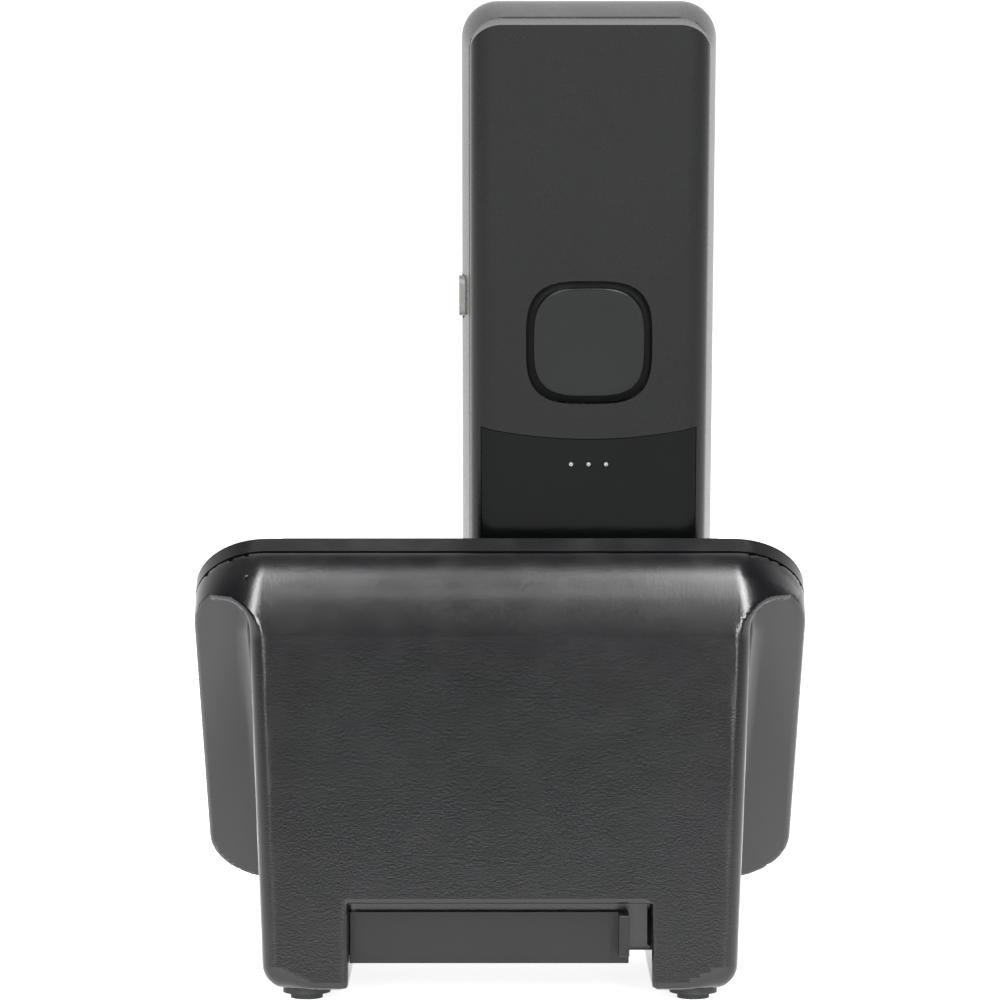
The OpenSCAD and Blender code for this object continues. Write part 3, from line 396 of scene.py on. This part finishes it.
half = shellSize["width"] / 2
points, faces, normals = skin(shellField, (-half, 0, 1.5), (half, 84, 91), shellSize["pitch"], shellPlace)
addPiece("rearShell", points, faces, "shell_plastic", "base", ["rear_shell"], normals)
print("rear shell made:", len(faces), "faces")


# handset: front housing with drafted flanks and its openings

housing = {
    "edge": 6.0, "corner": 7.0, "draft": 1.5, "draftStart": -5.0, "split": 4.0, "wall": 1.6, "holeEdge": 0.25,
    "keyGap": 0.3, "columnPitch": 13.6, "rowPitch": 12.0, "firstRow": 30.0, "lensCentre": 116.0, "lensDepth": 0.9,
    "earSlots": (-6.4, -3.2, 0, 3.2, 6.4), "earCentre": 142.0, "sideKeyCentre": 103.0, "pitch": 0.95,
}
# each key: x, height, width, height and corner radius of its cap
across, rowStep = housing["columnPitch"], housing["rowPitch"]
numberKeys = [(across * column, housing["firstRow"] + rowStep * row, 10.6, 7.6, 3.0)
              for column in (-1, 0, 1) for row in range(4)]
otherKeys = [(-across, 79.5, 11.4, 8.0, 3.4), (across, 79.5, 11.4, 8.0, 3.4), (-across, 92.5, 11.4, 6.0, 2.6),
             (across, 92.5, 11.4, 6.0, 2.6), (0.0, 86.0, 11.4, 18.0, 5.4)]


def housingField(x, y, z):  # hollow box with a rounded front edge, open at the split, without its openings
    h, middle = housing, handset["length"] / 2
    draft = h["draft"] * np.clip((y - h["draftStart"]) / (h["split"] - h["draftStart"]), 0, 1) ** 1.3
    outline = roundRect(x, z - middle, handset["width"] - 2 * draft, handset["length"] - 2 * draft, h["corner"])
    front = -handset["depth"] / 2 - y
    outer = roundMax(outline, front, h["edge"])
    shell = np.maximum(outer, -(outer + h["wall"]))
    through = -front - 3  # an opening reaches this deep behind the front
    lens = np.maximum(roundRect(x, z - h["lensCentre"], 40.6, 34.4, 3.2), -front - h["lensDepth"])
    window = np.maximum(roundRect(x, z - h["lensCentre"], 35.0, 29.0, 1.5), through)
    cut = np.minimum(lens, window)
    gap = 2 * h["keyGap"]
    for kx, kz, wide, high, corner in numberKeys + otherKeys:
        hole = roundRect(x - kx, z - kz, wide + gap, high + gap, corner + h["keyGap"])
        cut = np.minimum(cut, np.maximum(hole, through))
    for slot in h["earSlots"]:
        cut = np.minimum(cut, np.maximum(roundRect(x - slot, z - h["earCentre"], 1.2, 4.2, 0.6), through))
    sideKey = np.maximum(roundRect(y + 3, z - h["sideKeyCentre"], 3.9, 8.5, 1.9), 20 - x)
    plates = np.maximum(roundRect(np.abs(x) - 9, y + 2, 6.0, 5.0, 0.3), z - 3)
    cut = np.minimum(np.minimum(cut, sideKey), plates)
    return np.maximum(roundMax(shell, -cut, h["holeEdge"]), y - h["split"])


reach, thick = handset["width"] / 2, handset["depth"] / 2
points, faces, normals = skin(housingField, (-reach, -thick, 0), (reach, housing["split"], handset["length"]),
                              housing["pitch"], handsetPlace)
addPiece("frontHousing", points, faces, "housing_plastic", "handset", ["front_housing"], normals)
print("front housing made:", len(faces), "faces")


# speaker cap with its groove, and the dots of the battery door; outlines lie in x and height, levels in depth

capSize = {"centre": 97.0, "hole": 24.4, "groove": 1.4, "round": 0.5, "dish": 0.25, "bulge": 0.6}
turns = np.linspace(0, 2 * np.pi, 96, endpoint=False)


def capOutline(inset, share):  # |x|^(2/bulge) + |z|^(2/bulge) = 1, a square with swollen sides
    size = np.maximum(capSize["hole"] / 2 - inset, 0) * share
    wide, high = [np.sign(v) * np.abs(v) ** capSize["bulge"] for v in (np.cos(turns), np.sin(turns))]
    return np.stack([size * wide, size * high], 1)


def backPlace(p):  # outline x, outline height, depth -> handset
    return handsetPlace(np.stack([p[:, 0], p[:, 2], p[:, 1] + capSize["centre"]], 1))


rim, top = capSize["groove"], thick
capLevels = [(0, 0, 9.25), (-1.2, 1, 9.25), (-1.2, 1, 10.35), (rim, 1, 10.4), (rim, 1, 11.5)]  # flange and side
grooveLevels = len(capLevels)
for turn in np.linspace(0, np.pi / 2, 6):
    capLevels.append((rim + capSize["round"] * (1 - np.cos(turn)), 1, top - capSize["round"] * (1 - np.sin(turn))))
capLevels += [(rim + capSize["round"], share, top - capSize["dish"] * (1 - share ** 2))
              for share in np.linspace(0.9, 0, 8)]
points, faces = stack(capOutline, capLevels, backPlace)
cap = addPiece("speakerCap", points, faces[:, ::-1], "cap_plastic", "handset", ["speaker_cap"])
# painted shade: the cap's flange and side faces down in the groove get a darker, rougher material than the cap,
# standing in for the shade in the deep groove
cap.data.materials.append(plastic("paintedGrooveShade", (0.0015, 0.0015, 0.0015), 0.6, 0.3))
level = np.repeat(np.arange(len(capLevels) - 1), len(turns))
cap.data.polygons.foreach_set("material_index", (level < grooveLevels).astype(np.int32))

dots = {"pitch": 3.4, "radius": 0.55, "height": 0.3, "sunk": 0.3, "at": 72.8}
ring = np.linspace(0, 2 * np.pi, 24, endpoint=False)
levels = [(0, 0, -dots["sunk"]), (0, 1, -dots["sunk"])]
levels += [(0, np.cos(t), dots["height"] * np.sin(t)) for t in np.linspace(0, np.pi / 2, 6)]


def dotOutline(inset, share):  # a circle
    return dots["radius"] * share * np.stack([np.cos(ring), np.sin(ring)], 1)


parts, sides = [], []
for index, shift in enumerate((-1, 0, 1)):
    dotPoints, dotFaces = stack(dotOutline, levels, lambda p: handsetPlace(
        np.stack([p[:, 0] + shift * dots["pitch"], top + p[:, 2], dots["at"] + p[:, 1]], 1)))
    sides.append(dotFaces[:, ::-1] + index * len(dotPoints))
    parts.append(dotPoints)
addPiece("doorDots", np.concatenate(parts), np.concatenate(sides), "side_key_plastic", "battery_door")
print("speaker cap and dots made")


# digits on the number keys, as thin raised print

marks = {"size": 4.6, "lift": 1.02, "domedLift": 1.32, "thickness": 0.06}


def addMark(name, text, place, body):
    curve = bpy.data.curves.new(name, "FONT")
    curve.body, curve.size, curve.extrude = text, marks["size"], marks["thickness"]
    curve.align_x, curve.align_y = "CENTER", "CENTER"
    source = bpy.data.objects.new(name, curve)
    mesh = bpy.data.meshes.new_from_object(source)
    bpy.data.objects.remove(source)
    flat = np.empty(len(mesh.vertices) * 3)
    mesh.vertices.foreach_get("co", flat)
    mesh.vertices.foreach_set("co", (place(flat.reshape(-1, 3)) * 0.001).ravel())
    mesh.update()
    mesh.name = name
    mesh.materials.clear()
    mesh.materials.append(finish["white_print"])
    piece = bpy.data.objects.new(name, mesh)
    scene.collection.objects.link(piece)
    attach(piece, body)


for node, text in [(f"number_{n}_key", str(n)) for n in range(10)] + [("star_key", "*"), ("hash_key", "#")]:
    row, column = divmod("123456789*0#".index(text), 3)
    centre = (across * (column - 1), housing["firstRow"] + rowStep * (3 - row))
    front = -top - marks["domedLift" if text == "5" else "lift"]
    addMark(node + "_mark", text, lambda p: handsetPlace(
        np.stack([centre[0] + p[:, 0], front - p[:, 2], centre[1] + p[:, 1]], 1)), node)
print("marks made")


# stage: a camera, two tall soft panels behind it, two above, a bright surround and a pale floor
camera = {"distance": 0.9, "height": 0.14, "aim": 0.0966, "focal": 169.2}
rearWall = 0.0369
cameraData = bpy.data.cameras.new("camera")
cameraObject = bpy.data.objects.new("camera", cameraData)
scene.collection.objects.link(cameraObject)
cameraObject.location = (0, rearWall + camera["distance"], camera["height"])
look = Vector((0, rearWall, camera["aim"])) - cameraObject.location
cameraObject.rotation_euler = look.to_track_quat("-Z", "Y").to_euler()
cameraData.lens, cameraData.sensor_width = camera["focal"], 36.0
scene.camera = cameraObject


def softPanel(name, place, aimHeight, wide, high, power):
    data = bpy.data.lights.new(name, "AREA")
    data.shape, data.size, data.size_y, data.energy = "RECTANGLE", wide, high, power
    panel = bpy.data.objects.new(name, data)
    panel.location = place
    aim = Vector((0, 0, aimHeight)) - Vector(place)
    panel.rotation_euler = aim.to_track_quat("-Z", "Y").to_euler()
    panel.visible_camera = False
    scene.collection.objects.link(panel)


softPanel("leftPanel", (0.40, 1.25, 1.15), 0.6, 0.22, 1.9, 34.0)
softPanel("rightPanel", (-0.38, 1.26, 1.15), 0.6, 0.24, 1.9, 42.0)
softPanel("highPanel", (-0.25, 1.15, 1.2), 0.08, 0.8, 0.2, 1.0)
softPanel("topPanel", (0.0, -0.3, 1.6), 0.08, 1.4, 1.0, 5.0)

world = bpy.data.worlds.new("studio")
scene.world = world
world.use_nodes = True
wire = Wire(world.node_tree)
along = wire.node("SeparateXYZ", {}, {0: wire.node("TexCoord", out="Generated")}, "Y")
isCamera = wire.node("LightPath", out="Is Camera Ray")
studio = {"backdrop": 1.4, "behindObject": 1.3, "behindCamera": 0.035, "floorGlow": 0.85}
dim = along.ramp(-0.9, 0.3, studio["behindObject"], studio["behindCamera"])
shown = dim + isCamera * (studio["backdrop"] - dim)  # the backdrop itself is plain white
shown.into(world.node_tree.nodes["Background"].inputs["Strength"])
world.node_tree.nodes["Background"].inputs["Color"].default_value = (1, 1, 1, 1)

floorMesh = bpy.data.meshes.new("floor")
floorMesh.from_pydata([(-40, -40, 0), (40, -40, 0), (40, 40, 0), (-40, 40, 0)], [], [(0, 1, 2, 3)])
floor = bpy.data.objects.new("floor", floorMesh)
scene.collection.objects.link(floor)
material, wire, shader = newMaterial("paleFloor")
speck = wire.noise(wire.node("TexCoord", out="Object"), 900.0, 2.0)
speck.ramp(0.3, 0.7).mix((0.84, 0.84, 0.84), (0.88, 0.88, 0.88)).into(shader.inputs["Base Color"])
shader.inputs["Roughness"].default_value = 0.7
shader.inputs["Emission Color"].default_value = (1, 1, 1, 1)
shader.inputs["Emission Strength"].default_value = studio["floorGlow"]
floorMesh.materials.append(material)
scene.view_settings.view_transform = "Standard"
print("stage set")
